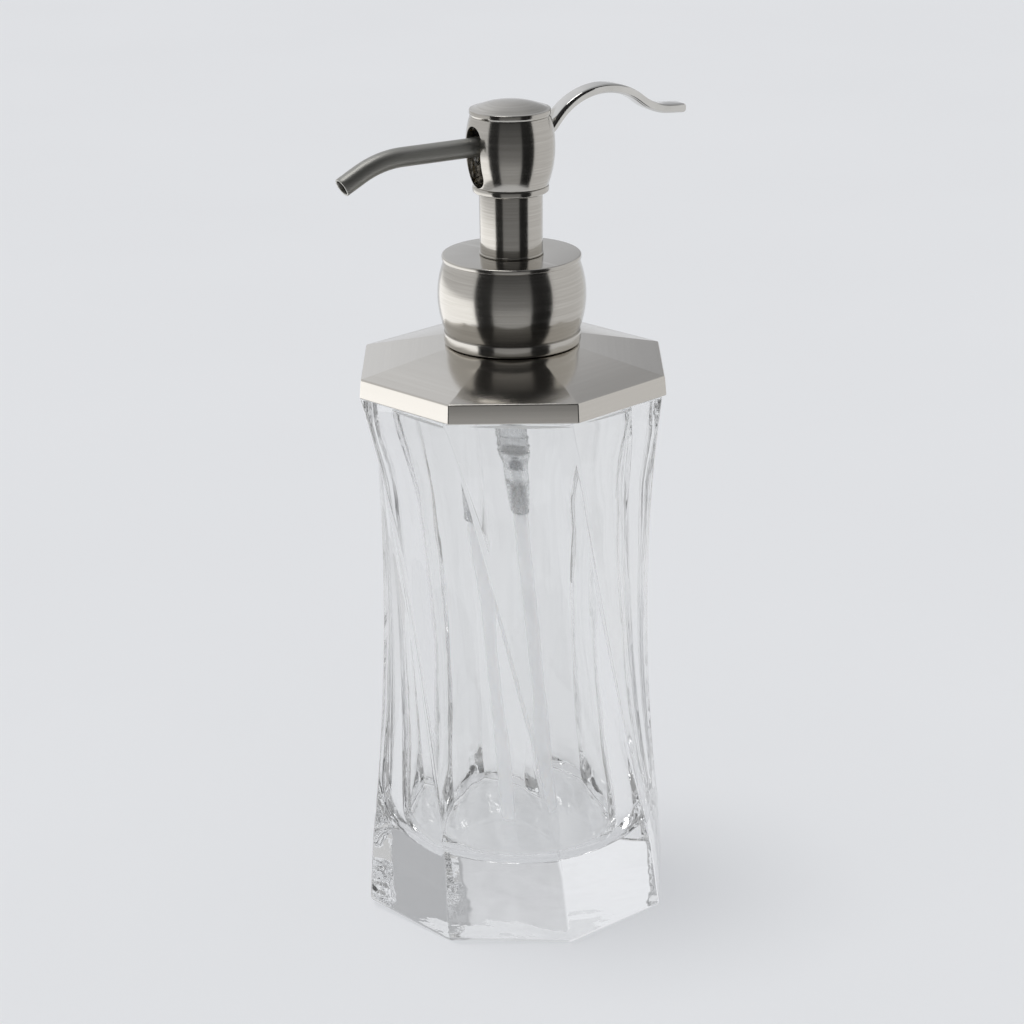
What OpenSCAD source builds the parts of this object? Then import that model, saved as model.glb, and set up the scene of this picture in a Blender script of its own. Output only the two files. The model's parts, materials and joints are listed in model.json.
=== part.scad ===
// Soap pump dispenser: a twisted octagonal glass bottle with an octagonal metal lid,
// a screw-on barrel collar, and a slotted head whose lever presses a spring-loaded pump.
// The origin is the centre of the base, +Z is up and the front flat of the lid faces -Y.

/* [Bottle] */
// Height of the glass up to the shoulder under the lid
glass_h = 139.1; // [120:0.1:150]
// Corner-to-centre radius of the glass at the table
glass_base_r = 41.2; // [40:0.1:43]
// Height of the solid block at the base
glass_block_h = 18; // [12:1:24]
// Corner-to-centre radius at the top of that block
glass_block_r = 39.6; // [38:0.1:40]
// Corner-to-centre radius of the glass at its narrowest
glass_waist_r = 34.4; // [34:0.1:37]
// Corner-to-centre radius of the glass under the lid
glass_rim_r = 40.6; // [40:0.1:43]
// Height of the narrowest place
glass_waist_z = 78; // [60:1:95]
// Twist of the octagon from base to rim, in degrees
glass_twist = 43.6; // [0:1:60]
// Part of that twist that lies in the base block, in degrees
block_twist = 2.2; // [0:0.1:5]
// Turn of the whole bottle at its base, in degrees
glass_turn = -3.6; // [-10:0.1:10]
// Thickness of the solid glass floor
glass_floor = 17; // [10:0.5:25]
// Radius of the hollow at its middle
cavity_r = 28.2; // [24:0.1:29]

/* [Lid] */
// Distance across the flats of the lid
lid_flats = 75; // [70:0.5:80]
// Height of the upright skirt
skirt_h = 4.9; // [3:0.1:8]
// Rise of the sloping top above the skirt
lid_rise = 5; // [3:0.1:7]
// Thickness of the metal
lid_wall = 1.2; // [0.8:0.1:1.6]

/* [Closure and collar] */
// Outer radius of the thread on the neck
thread_r = 13.7; // [13.5:0.05:13.9]
// Rise of the thread in one turn
thread_pitch = 4.233; // [3.5:0.001:4.5]
// Largest radius of the collar barrel
collar_r = 18.55; // [18:0.05:19.5]
// Height of the collar above the lid
collar_h = 22.5; // [22:0.1:24]

/* [Head] */
// Radius of the column
column_r = 7.9; // [7.7:0.05:8.2]
// Height of the column above the collar
column_h = 15.7; // [15:0.1:18]
// Largest radius of the head barrel
head_r = 11.04; // [10.8:0.02:11.4]
// Direction of the spout, in degrees from +X
head_turn = 210; // [0:1:359]

/* [Spout and lever] */
// Outer radius of the spout tube
spout_r = 2.4; // [2.3:0.05:2.5]
// Reach of the spout from the column's axis
spout_reach = 46.5; // [40:0.5:60]
// Width of the lever strip
lever_w = 5; // [4:0.1:5.2]
// Thickness of the lever strip
lever_t = 2.3; // [1.6:0.1:2.4]
// Angle of the lever's inner arms above level at rest
lever_rest = 19; // [17:0.5:20]
// Length of the pump's stroke
stroke = 4.8; // [3:0.1:4.8]

/* [Hidden] */
$fn = 72;
fit = 0.06;          // radial clearance of a running fit
seat = 0.02;         // clearance of a pressed or bonded seat
gap = 0.3;           // clearance between pieces that pass each other

nickel = [0.72, 0.70, 0.67];
polished = [0.80, 0.79, 0.77];
steel = [0.66, 0.67, 0.69];
clear_plastic = [0.90, 0.92, 0.93, 0.6];
white_plastic = [0.92, 0.92, 0.91];
grey_rubber = [0.35, 0.35, 0.36];

// Lid heights
mouth_r = 32;                              // radius of the bottle's mouth
mouth_z = glass_h + 1.8;                   // top of the round lip inside the lid
mouth_lip_r = mouth_r + 2.5;
seal_t = 0.8;
insert_z = mouth_z + seal_t;
skirt_z = glass_h + skirt_h;
lid_z = skirt_z + lid_rise;
lid_top_r = 17.2;                          // half of the flat octagon around the neck
flat_to_corner = 1 / cos(22.5);

// Neck and closure
neck_r = thread_r - 1.1;
neck_bore_r = 10.8;
neck_z = lid_z + 9.6;                      // top of the threaded neck
neck_flange_r = 15.5;
neck_flange_t = 2;
gasket_t = 0.9;
flange_t = 1.5;                            // flange of the pump housing
flange_r = 13.3;
flange_z = neck_z + fit + gasket_t;
closure_r = 15.63;
closure_bore_r = thread_r + gap;
closure_z = lid_z + 1.2;
closure_plate_z = flange_z + flange_t + 0.1;
closure_plate_t = 1.6;
closure_hole_r = 7.3;
thread_turns = 1.25;
thread_start_z = lid_z + 2.6;

// Collar
collar_z = lid_z + 0.2;
bead_h = 3;
bead_r = 17.2;
disc_t = 1.2;
collar_top_z = collar_z + collar_h;        // top face of the collar disc
barrel_top_z = collar_top_z - disc_t;
disc_r = 17.4;
disc_hole_r = 7;

// Column and head
column_z = collar_top_z + 0.05;
column_bore_r = 6.4;
spigot_r = disc_hole_r - fit;
spigot_z = collar_top_z - 7.1;
bush_t = 2.4;
ring_z = column_z + column_h;
ring_t = 1.7;
ring_r = 9.5;
tenon_r = 7.2;                             // top of the column inside the head
barrel_z = ring_z + ring_t;
barrel_h = 17.4;
barrel_floor = 1.1;
barrel_bore_r = 8.9;
cap_z = barrel_z + barrel_h;
cap_rim_r = 10.08;
cap_rim_h = 1.5;
cap_dome_h = 2;
slot_w = 7;
slot_low_z = barrel_z + 0.1;
slot_high_z = barrel_z + 15.5;
lever_slot_w = lever_w + 2 * gap;
lever_slot_low_z = barrel_z + 0.4;
lever_slot_high_z = barrel_z + 15.4;

// Lever mechanism, in the head's own frame: +X towards the spout, -X towards the lever
pivot_x = 6.3;
lever_exit_x = -10.8;                      // where the lever leaves the barrel
lever_exit_z = barrel_z + 12.5;
pivot_z = lever_exit_z - (pivot_x - lever_exit_x) * tan(lever_rest);
pivot_pin_r = 0.8;
eye_r = 1.45;
arm_t = 1.1;
arm_y = 2.75;                              // inner face of each arm
trunnion_x = -1.5;
trunnion_r = 0.9;
trunnion_z = pivot_z + (pivot_x - trunnion_x) * tan(lever_rest);
trunnion_y = arm_y + arm_t + 0.15;
arm_low = 1.2;                             // arm below and above its centre line
arm_high = 2.3;
web_start = 11.2;                          // distances along the lever from its pivot
web_end = 13.2;
cheek_y = arm_y + arm_t + 0.15;
cheek_t = 1.2;
bracket_t = 1.7;
bracket_z = cap_z - bracket_t;
bracket_r = barrel_bore_r - seat;

// Spout
spout_z = barrel_z + 10.4;
spout_bore_r = spout_r - 0.5;
spout_root_x = 2.2;
spout_bend_r = 25;
spout_bend = 28;                           // degrees
spout_end = 5.5;                           // straight piece after the bend
spout_straight = spout_reach - spout_bend_r * sin(spout_bend) - spout_end * cos(spout_bend);

// Plunger
stem_r = 2.5;
stem_bore_r = 1.5;
block_r = 2.6;
block_low_z = ring_z - 0.6;
block_flange_t = 1.2;
block_flange_r = 5.9;
block_socket_r = 4.2;
block_socket_z = ring_z + 3.4;
block_top_z = barrel_z + 13.3;
bush_z = spigot_z + 0.2;
spring_low_z = bush_z + bush_t;
spring_high_z = block_low_z;
spring_r = 4.7;
wire_r = 0.55;
spring_turns = 7;

// Pump housing
housing_r = 5.8;
housing_bore_r = 4.8;
housing_step_z = 122.6;
chamber_r = 2.9;
chamber_z = 116.6;
valve_seat_r = 1.6;
tail_r = 4.6;
tail_tip_r = 4.1;
tail_z = 104.6;
tube_seat_z = 112;
dip_r = 3.2;
dip_bore_r = 2.4;
dip_low_z = glass_floor + 0.8;
ball_r = 2.4;
ball_z = chamber_z + sqrt(ball_r * ball_r - valve_seat_r * valve_seat_r) + seat;
cage_t = 1.4;
cap_flange_r = 9;
cap_lip_z = closure_plate_z + closure_plate_t + gap;
cap_sleeve_z = flange_z - 5;
piston_z = 144;
piston_h = 6;
piston_seal_z = piston_z + 3;
seal_wire_r = 0.55;
outlet_r = 1.2;
outlet_seat_r = 0.8;
outlet_z = piston_z + 2.2 + sqrt(outlet_r * outlet_r - outlet_seat_r * outlet_seat_r) + seat;

// ---- outlines and helpers -------------------------------------------------

// Points of an arc about c, from angle a0 to a1
function arc(c, r, a0, a1, n = 8) =
    [for (i = [0:n]) let (a = a0 + (a1 - a0) * i / n) [c[0] + r * cos(a), c[1] + r * sin(a)]];

// Smooth bulge through three radii: at the bottom, at fraction m of the height and at the top
function bulge(t, r0, rm, r1, m) =
    r0 * (t - m) * (t - 1) / m + rm * t * (t - 1) / (m * (m - 1)) + r1 * t * (t - m) / (1 - m);

// Outline of a turned barrel with a straight bore
function barrel_outline(z, h, r0, rm, r1, m, bore, n = 20) =
    concat([[bore, z]], [for (i = [0:n]) [bulge(i / n, r0, rm, r1, m), z + h * i / n]], [[bore, z + h]]);

// Outline of a ring with rounded outer edges
function ring_outline(bore, r, z, h, round_r) =
    concat([[bore, z]], arc([r - round_r, z + round_r], round_r, -90, 0),
           arc([r - round_r, z + h - round_r], round_r, 0, 90), [[bore, z + h]]);

// A path point is [distance from the axis, height, heading in degrees]
function last(list) = list[len(list) - 1];
function ahead(p, d) = [[p[0] + d * cos(p[2]), p[1] + d * sin(p[2]), p[2]]];
function turn_to(p, heading, r, n = 8) = let (s = sign(heading - p[2]))
    [for (i = [1:n]) let (h = p[2] + (heading - p[2]) * i / n)
        [p[0] + s * r * (sin(h) - sin(p[2])), p[1] + s * r * (cos(p[2]) - cos(h)), h]];

module turned(outline) {
    rotate_extrude() polygon(outline);
}

module tube(r, bore, z, h) {
    difference() {
        translate([0, 0, z]) cylinder(r = r, h = h);
        translate([0, 0, z - 1]) cylinder(r = bore, h = h + 2);
    }
}

// A prism drawn in the XZ plane, centred on y
module side_plate(outline, y, t) {
    translate([0, y, 0]) rotate([90, 0, 0]) linear_extrude(t, center = true) polygon(outline);
}

module cross_cylinder(x, z, r, length) {
    translate([x, 0, z]) rotate([90, 0, 0]) cylinder(r = r, h = length, center = true, $fn = 32);
}

module in_head() {
    rotate([0, 0, head_turn]) children();
}

// Solid from a list of equal rings of points, closed at both ends
module skin(rings) {
    n = len(rings[0]);
    m = len(rings);
    points = [for (ring = rings) each ring];
    sides = [for (i = [0:m - 2]) for (j = [0:n - 1]) let (k = (j + 1) % n)
        each [[i * n + j, (i + 1) * n + j, (i + 1) * n + k], [i * n + j, (i + 1) * n + k, i * n + k]]];
    low = [[for (j = [0:n - 1]) j]];
    high = [[for (j = [n - 1:-1:0]) (m - 1) * n + j]];
    polyhedron(points, concat(sides, low, high), convexity = 6);
}

// ---- bottle ----------------------------------------------------------------

// Corner-to-centre radius at height z: a nearly upright block, then a waist that widens to the rim
function glass_r(z) =
    z < glass_block_h ? glass_base_r + (glass_block_r - glass_base_r) * z / glass_block_h :
    z < glass_waist_z ? glass_waist_r + (glass_block_r - glass_waist_r)
        * pow((glass_waist_z - z) / (glass_waist_z - glass_block_h), 2) :
    glass_waist_r + (glass_rim_r - glass_waist_r) * pow((z - glass_waist_z) / (glass_h - glass_waist_z), 2.2);

function glass_angle(z) = glass_turn - (z < glass_block_h
    ? block_twist * z / glass_block_h
    : block_twist + (glass_twist - block_twist) * pow((z - glass_block_h) / (glass_h - glass_block_h), 1.1));

// Corner rounding: crisp at the base and rim, soft at the waist
function corner_r(z) = 1.8 + 3.5 * sin(180 * z / glass_h);

// Octagon with rounded corners, at height z
function glass_ring(z, n = 3) = let (r = glass_r(z), c = corner_r(z))
    [for (k = [0:7]) let (a = 22.5 + 45 * k + glass_angle(z), d = r - c * flat_to_corner)
        for (i = [0:n]) let (b = a - 22.5 + 45 * i / n)
            [d * cos(a) + c * cos(b), d * sin(a) + c * sin(b), z]];

cavity_corner = 8;
cavity_floor_r = 33.6;
cavity_top_z = 108;

function cavity_wall(z) = cavity_r + (cavity_floor_r - cavity_r) * pow((glass_waist_z - z) / glass_waist_z, 2);

module cavity() {
    low_z = glass_floor + cavity_corner;
    rim = cavity_wall(cavity_top_z);
    turned(concat(
        [[0, glass_floor]],
        arc([cavity_wall(low_z) - cavity_corner, low_z], cavity_corner, -90, 0),
        [for (i = [1:10]) let (z = low_z + (cavity_top_z - low_z) * i / 10) [cavity_wall(z), z]],
        [for (i = [1:8]) let (t = i / 8)
            [rim + (mouth_r - rim) * (1 - cos(180 * t)) / 2, cavity_top_z + (glass_h - 4 - cavity_top_z) * t]],
        [[mouth_r, mouth_z + 1], [0, mouth_z + 1]]));
}

module glass_bottle() {
    rings = 28;
    color([0.85, 0.90, 0.90, 0.35]) difference() {
        union() {
            skin([for (i = [0:rings]) glass_ring(glass_h * i / rings)]);
            translate([0, 0, glass_h - 1]) cylinder(r = mouth_lip_r, h = mouth_z - glass_h + 1);
        }
        cavity();
    }
}

// ---- lid -------------------------------------------------------------------

module mouth_seal() {
    color(grey_rubber) tube(mouth_lip_r, mouth_r, mouth_z, seal_t);
}

module lid_insert() {
    insert_t = 1.5;
    color(white_plastic) difference() {
        union() {
            translate([0, 0, insert_z]) cylinder(r = mouth_lip_r, h = insert_t);
            translate([0, 0, insert_z]) cylinder(r = neck_flange_r, h = lid_z - lid_wall - neck_flange_t - insert_z);
            translate([0, 0, glass_h - 2]) cylinder(r = mouth_r - seat, h = insert_z - glass_h + 2);
        }
        translate([0, 0, glass_h - 3]) cylinder(r = mouth_r - 1.5, h = insert_z - glass_h + 3);
        translate([0, 0, glass_h - 3]) cylinder(r = neck_r + seat, h = 20);
    }
}

module octagon(flats, z, h, top_flats) {
    rotate([0, 0, 22.5]) translate([0, 0, z])
        cylinder(r1 = flats / 2 * flat_to_corner, r2 = top_flats / 2 * flat_to_corner, h = h, $fn = 8);
}

module lid_shell() {
    inner = lid_flats - 2 * lid_wall;
    color(nickel) difference() {
        union() {
            octagon(lid_flats + 0.8, glass_h, skirt_h, lid_flats);
            octagon(lid_flats, skirt_z, lid_rise, 2 * lid_top_r);
        }
        octagon(inner, glass_h - 1, skirt_h - lid_wall + 1, inner);
        octagon(inner, skirt_z - lid_wall, lid_rise, 2 * lid_top_r);
        translate([0, 0, lid_z - 3]) cylinder(r = neck_r + seat, h = 4);
    }
}

// ---- threads ---------------------------------------------------------------

// Ridge that winds up from z: root and crest radii, half heights at the root and at the crest
module thread_ridge(z, root, crest, root_h, crest_h) {
    steps = 30;
    side = root < crest ? 1 : -1;
    skin([for (i = [0:steps])
        let (a = 360 * thread_turns * i / steps, lift = z + thread_pitch * a / 360,
             fade = min(1, i / 3, (steps - i) / 3) * 0.95 + 0.05,
             tip = root + (crest - root) * fade)
            [for (p = [[root, root_h], [tip, crest_h], [tip, -crest_h], [root, -root_h]])
                [p[0] * cos(a), p[0] * sin(a), lift + side * p[1]]]]);
}

module threaded_neck() {
    foot_z = insert_z - 1.2;
    color(nickel) {
        difference() {
            union() {
                translate([0, 0, foot_z]) cylinder(r = neck_r, h = neck_z - foot_z);
                translate([0, 0, lid_z - lid_wall - neck_flange_t]) cylinder(r = neck_flange_r, h = neck_flange_t);
                thread_ridge(thread_start_z, neck_r - 0.3, thread_r, 0.95, 0.55);
            }
            translate([0, 0, foot_z - 1]) cylinder(r = neck_bore_r, h = neck_z - foot_z + 2);
        }
    }
}

module closure_nut() {
    color(white_plastic) {
        difference() {
            translate([0, 0, closure_z]) cylinder(r = closure_r, h = closure_plate_z + closure_plate_t - closure_z);
            translate([0, 0, closure_z - 1]) cylinder(r = closure_bore_r, h = closure_plate_z - closure_z + 1);
            translate([0, 0, closure_plate_z - 1]) cylinder(r = closure_hole_r, h = closure_plate_t + 2);
        }
        rotate([0, 0, 180])
            thread_ridge(thread_start_z, closure_bore_r + 0.3, neck_r + gap, 0.95, 0.55);
    }
}

// ---- pump body ---------------------------------------------------------------

module pump_housing() {
    bead = 0.35;
    color(clear_plastic) difference() {
        union() {
            turned([[0, tail_z], [tail_tip_r, tail_z], [tail_r, tail_z + 5], [tail_r, chamber_z + 2],
                    [housing_r, chamber_z + 5], [housing_r, flange_z], [flange_r, flange_z],
                    [flange_r, flange_z + flange_t], [0, flange_z + flange_t]]);
            for (z = [123.3, 125.7, 128.9])
                translate([0, 0, z - bead]) cylinder(r = housing_r + bead, h = 2 * bead);
        }
        translate([0, 0, housing_step_z]) cylinder(r = housing_bore_r, h = 60);
        translate([0, 0, chamber_z]) cylinder(r = chamber_r, h = 20);
        translate([0, 0, tube_seat_z - 1]) cylinder(r = valve_seat_r, h = 20);
        translate([0, 0, tail_z - 1]) cylinder(r = dip_r + seat, h = tube_seat_z - tail_z + 1);
    }
}

module housing_cap() {
    top_z = flange_z + flange_t;
    color(white_plastic) difference() {
        union() {
            translate([0, 0, cap_sleeve_z]) cylinder(r = housing_bore_r - seat, h = top_z - cap_sleeve_z);
            translate([0, 0, top_z]) cylinder(r = closure_hole_r - 0.4, h = cap_lip_z - top_z);
            translate([0, 0, cap_lip_z]) cylinder(r = cap_flange_r, h = 0.8);
        }
        translate([0, 0, cap_sleeve_z - 1]) cylinder(r = stem_r + 0.09, h = 20);
    }
}

module neck_gasket() {
    color(grey_rubber) tube(flange_r, 9.5, neck_z + fit, gasket_t);
}

module ball_cage() {
    color(white_plastic) difference() {
        translate([0, 0, housing_step_z]) cylinder(r = housing_bore_r - seat, h = cage_t);
        translate([0, 0, housing_step_z - 1]) cylinder(r = 1.1, h = cage_t + 2);
        for (a = [0:90:270])
            rotate([0, 0, a]) translate([2.6, 0, housing_step_z - 1]) cylinder(r = 0.7, h = cage_t + 2, $fn = 24);
    }
}

module foot_valve_ball() {
    color(steel) translate([0, 0, ball_z]) sphere(r = ball_r, $fn = 32);
}

module dip_tube() {
    color(clear_plastic) tube(dip_r, dip_bore_r, dip_low_z, tube_seat_z - dip_low_z);
}

// ---- collar --------------------------------------------------------------------

module collar_shell() {
    bore = closure_r + seat;
    color(nickel) {
        turned(ring_outline(bore, bead_r, collar_z, bead_h, 1.2));
        turned(barrel_outline(collar_z + bead_h, barrel_top_z - collar_z - bead_h, 16.75, collar_r, 16.8, 0.46, bore));
    }
}

module collar_disc() {
    color(nickel) difference() {
        union() {
            turned(ring_outline(1, disc_r, barrel_top_z, disc_t, 0.45));
            translate([0, 0, barrel_top_z - 2]) cylinder(r = closure_r, h = 2.5);
        }
        translate([0, 0, barrel_top_z - 3]) cylinder(r = disc_hole_r, h = 6);
        translate([0, 0, barrel_top_z - 3]) cylinder(r = 10.6, h = 2.6);
    }
}

// ---- head --------------------------------------------------------------------

module neck_column() {
    tenon_h = ring_t + barrel_floor;
    color(nickel) difference() {
        union() {
            translate([0, 0, spigot_z]) cylinder(r = spigot_r, h = column_z - spigot_z);
            translate([0, 0, column_z]) cylinder(r = column_r, h = column_h);
            translate([0, 0, ring_z]) cylinder(r = tenon_r, h = tenon_h);
        }
        translate([0, 0, spigot_z - 1]) cylinder(r = column_bore_r, h = 40);
    }
}

module guide_bush() {
    color(white_plastic) tube(column_bore_r - seat, stem_r + 0.09, bush_z, bush_t);
}

module column_locknut() {
    nut_h = 2;
    nut_z = barrel_top_z - 0.4 - gap - nut_h;
    color(nickel) difference() {
        translate([0, 0, nut_z]) cylinder(r = 10, h = nut_h, $fn = 6);
        translate([0, 0, nut_z - 1]) cylinder(r = spigot_r + seat, h = nut_h + 2);
    }
}

module head_ring() {
    color(nickel) turned(ring_outline(tenon_r + seat, ring_r, ring_z, ring_t, 0.5));
}

// Upright slot through one side of the barrel, with round ends
module wall_slot(side, width, low_z, high_z) {
    for (z = [low_z + width / 2, high_z - width / 2])
        translate([0, 0, z]) rotate([0, side * 90, 0]) cylinder(r = width / 2, h = 14, $fn = 48);
    translate([side < 0 ? -14 : 0, -width / 2, low_z + width / 2]) cube([14, width, high_z - low_z - width]);
}

module head_barrel() {
    color(nickel) in_head() difference() {
        turned(barrel_outline(barrel_z, barrel_h, 9.3, head_r, 9.9, 0.5, tenon_r + seat));
        translate([0, 0, barrel_z + barrel_floor]) cylinder(r = barrel_bore_r, h = barrel_h);
        intersection() {
            wall_slot(1, slot_w, slot_low_z, slot_high_z);
            translate([tenon_r - 0.5, -10, barrel_z - 1]) cube([20, 20, barrel_h + 2]);
        }
        translate([-20, -lever_slot_w / 2, lever_slot_low_z])
            cube([20 - tenon_r + 0.5, lever_slot_w, lever_slot_high_z - lever_slot_low_z]);
    }
}

module lever_bracket() {
    cheek_low_z = pivot_z - 1.9;
    color(steel) in_head() difference() {
        union() {
            translate([0, 0, bracket_z]) cylinder(r = bracket_r, h = bracket_t);
            intersection() {
                for (side = [-1, 1])
                    translate([pivot_x - 2.2, side * (cheek_y + cheek_t / 2) - cheek_t / 2, cheek_low_z])
                        cube([4, cheek_t, bracket_z - cheek_low_z + 0.5]);
                translate([0, 0, cheek_low_z]) cylinder(r = bracket_r, h = 20);
            }
        }
        cross_cylinder(pivot_x, pivot_z, pivot_pin_r + seat, 20);
        translate([0, 0, bracket_z - 1]) cylinder(r = 1.5, h = bracket_t + 2);
    }
}

module lever_pins() {
    length = cheek_t + arm_t + 0.1;
    color(steel) in_head() for (side = [-1, 1])
        translate([0, side * (arm_y + length / 2), 0]) cross_cylinder(pivot_x, pivot_z, pivot_pin_r, length);
}

module head_cap() {
    dome_r = 9.6;
    dome_n = 10;
    stud_r = 1.5 - seat;
    color(nickel) turned(concat(
        [[0, bracket_z + 0.3], [stud_r, bracket_z + 0.3], [stud_r, cap_z]],
        [[9.4, cap_z]],
        arc([cap_rim_r - 0.5, cap_z + 0.5], 0.5, -90, 0),
        arc([cap_rim_r - 0.5, cap_z + cap_rim_h - 0.5], 0.5, 0, 90, 4),
        [for (i = [0:dome_n]) let (t = 1 - i / dome_n)
            [dome_r * t, cap_z + cap_rim_h + cap_dome_h * (1 - t * t)]]));
}

module return_spring() {
    steps_per_turn = 20;
    sides = 8;
    n = spring_turns * steps_per_turn;
    low = spring_low_z + wire_r + 0.02;
    high = spring_high_z - wire_r - 0.02;
    color(steel) skin([for (i = [0:n])
        let (a = 360 * i / steps_per_turn, z = low + (high - low) * i / n)
            [for (j = [0:sides - 1]) let (b = -360 * j / sides, r = spring_r + wire_r * cos(b))
                [r * cos(a), r * sin(a), z + wire_r * sin(b)]]]);
}

// ---- plunger -----------------------------------------------------------------

module spout_block() {
    nipple_r = spout_bore_r - seat;
    nipple_l = 4;
    color(nickel) in_head() difference() {
        union() {
            translate([0, 0, block_low_z]) cylinder(r = block_flange_r, h = block_flange_t);
            translate([0, 0, block_low_z]) cylinder(r = block_socket_r, h = block_socket_z - block_low_z);
            intersection() {
                translate([0, 0, block_socket_z - 1]) cylinder(r = block_r, h = block_top_z - block_socket_z + 1);
                translate([-5, -5, block_low_z]) cube([5 + spout_root_x, 10, 40]);
            }
            translate([1, 0, spout_z]) rotate([0, 90, 0]) cylinder(r = nipple_r, h = spout_root_x - 1 + nipple_l);
            for (side = [-1, 1])
                translate([0, side * (trunnion_y + 1.7) / 2, 0])
                    cross_cylinder(trunnion_x, trunnion_z, trunnion_r, trunnion_y - 1.7);
        }
        translate([0, 0, block_low_z - 1]) cylinder(r = stem_r + seat, h = block_socket_z - block_low_z);
        translate([0, 0, block_low_z]) cylinder(r = stem_bore_r, h = spout_z - block_low_z);
        translate([0, 0, spout_z]) rotate([0, 90, 0]) cylinder(r = 1.2, h = 12);
        translate([0, 0, spout_z]) sphere(r = stem_bore_r, $fn = 32);
    }
}

// A round rod along the spout's path, lengthened at both ends by extra
module spout_rod(r, extra) {
    sides = 24;
    root = [spout_root_x - extra, spout_z, 0];
    straight = ahead(root, spout_straight - spout_root_x + extra);
    bend = turn_to(last(straight), -spout_bend, spout_bend_r, 10);
    tip = ahead(last(bend), spout_end + extra);
    skin([for (p = concat([root], straight, bend, tip))
        [for (i = [0:sides - 1]) let (b = 360 * i / sides, side = r * cos(b), rise = r * sin(b))
            [p[0] - rise * sin(p[2]), side, p[1] + rise * cos(p[2])]]]);
}

module spout_tube() {
    color(nickel) in_head() difference() {
        spout_rod(spout_r, 0);
        spout_rod(spout_bore_r, 1);
    }
}

module piston_stem() {
    low_z = piston_z + 2.2;
    color(white_plastic) tube(stem_r, stem_bore_r, low_z, block_socket_z - 1 - low_z);
}

module piston() {
    groove = 0.75;
    skirt_r = housing_bore_r - fit;
    color(white_plastic) difference() {
        turned([[0, piston_z], [skirt_r, piston_z], [skirt_r, piston_seal_z - groove],
                [skirt_r - 1, piston_seal_z - groove], [skirt_r - 1, piston_seal_z + groove],
                [skirt_r, piston_seal_z + groove], [skirt_r, piston_z + piston_h], [0, piston_z + piston_h]]);
        translate([0, 0, piston_z + 2.2]) cylinder(r = stem_r + seat, h = piston_h);
        translate([0, 0, piston_z - 1]) cylinder(r = outlet_seat_r, h = 4);
    }
}

module piston_seal() {
    color(grey_rubber) rotate_extrude()
        translate([housing_bore_r - seat - seal_wire_r, piston_seal_z]) circle(r = seal_wire_r, $fn = 24);
}

module outlet_ball() {
    color(steel) translate([0, 0, outlet_z]) sphere(r = outlet_r, $fn = 32);
}

// ---- lever ---------------------------------------------------------------------

function on_arm(d, q) =
    [pivot_x - d * cos(lever_rest) + q * sin(lever_rest), pivot_z + d * sin(lever_rest) + q * cos(lever_rest)];

strip_start = let (p = on_arm(web_end, 0)) [-p[0], p[1], lever_rest];
leg_1 = ahead(strip_start, 3);
rise = turn_to(last(leg_1), 50, 6);
leg_2 = ahead(last(rise), 1.6);
crest = turn_to(last(leg_2), 0, 17.5, 12);
fall = turn_to(last(crest), -37, 17, 12);
leg_3 = ahead(last(fall), 1.5);
hollow = turn_to(last(leg_3), -4, 14);
leg_4 = ahead(last(hollow), 5.2);
lever_path = concat([strip_start], leg_1, rise, leg_2, crest, fall, leg_3, hollow, leg_4);

function beside(p, q) = [-(p[0] - q * sin(p[2])), p[1] + q * cos(p[2])];

module lever() {
    half = lever_t / 2;
    count = len(lever_path);
    trunnion_d = (pivot_x - trunnion_x) / cos(lever_rest);
    notch = trunnion_r + 0.12;
    arm = concat([on_arm(web_end, -arm_low), on_arm(web_end, arm_high), on_arm(2, arm_high)],
                 arc([pivot_x, pivot_z], eye_r, 90 + 40, -90 + 20, 12));
    notch_outline = [on_arm(trunnion_d - 1.35, -3), on_arm(trunnion_d - 1.35, notch),
                     on_arm(trunnion_d + 1.15, notch), on_arm(trunnion_d + 1.15, -3)];
    color(polished) in_head() {
        side_plate(concat([for (p = lever_path) beside(p, half)],
                          [for (i = [count - 1:-1:0]) beside(lever_path[i], -half)]), 0, lever_w);
        difference() {
            union() {
                for (side = [-1, 1]) side_plate(arm, side * (arm_y + arm_t / 2), arm_t);
                side_plate([on_arm(web_start, -arm_low), on_arm(web_start, arm_high), on_arm(web_end + 0.2, arm_high),
                            on_arm(web_end + 0.2, -arm_low)], 0, 2 * (arm_y + arm_t));
            }
            side_plate(notch_outline, 0, 20);
            cross_cylinder(pivot_x, pivot_z, pivot_pin_r + fit, 20);
        }
    }
}

glass_bottle();
mouth_seal();
lid_insert();
lid_shell();
threaded_neck();
pump_housing();
housing_cap();
neck_gasket();
ball_cage();
foot_valve_ball();
dip_tube();
closure_nut();
collar_shell();
collar_disc();
neck_column();
guide_bush();
column_locknut();
head_ring();
head_barrel();
lever_bracket();
lever_pins();
head_cap();
return_spring();
spout_block();
spout_tube();
piston_stem();
piston();
piston_seal();
outlet_ball();
lever();
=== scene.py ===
"""Soap pump dispenser: refined meshes, procedural materials, studio light and camera."""
import json
import math

import bmesh
import bpy
from mathutils import Matrix, Vector

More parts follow.
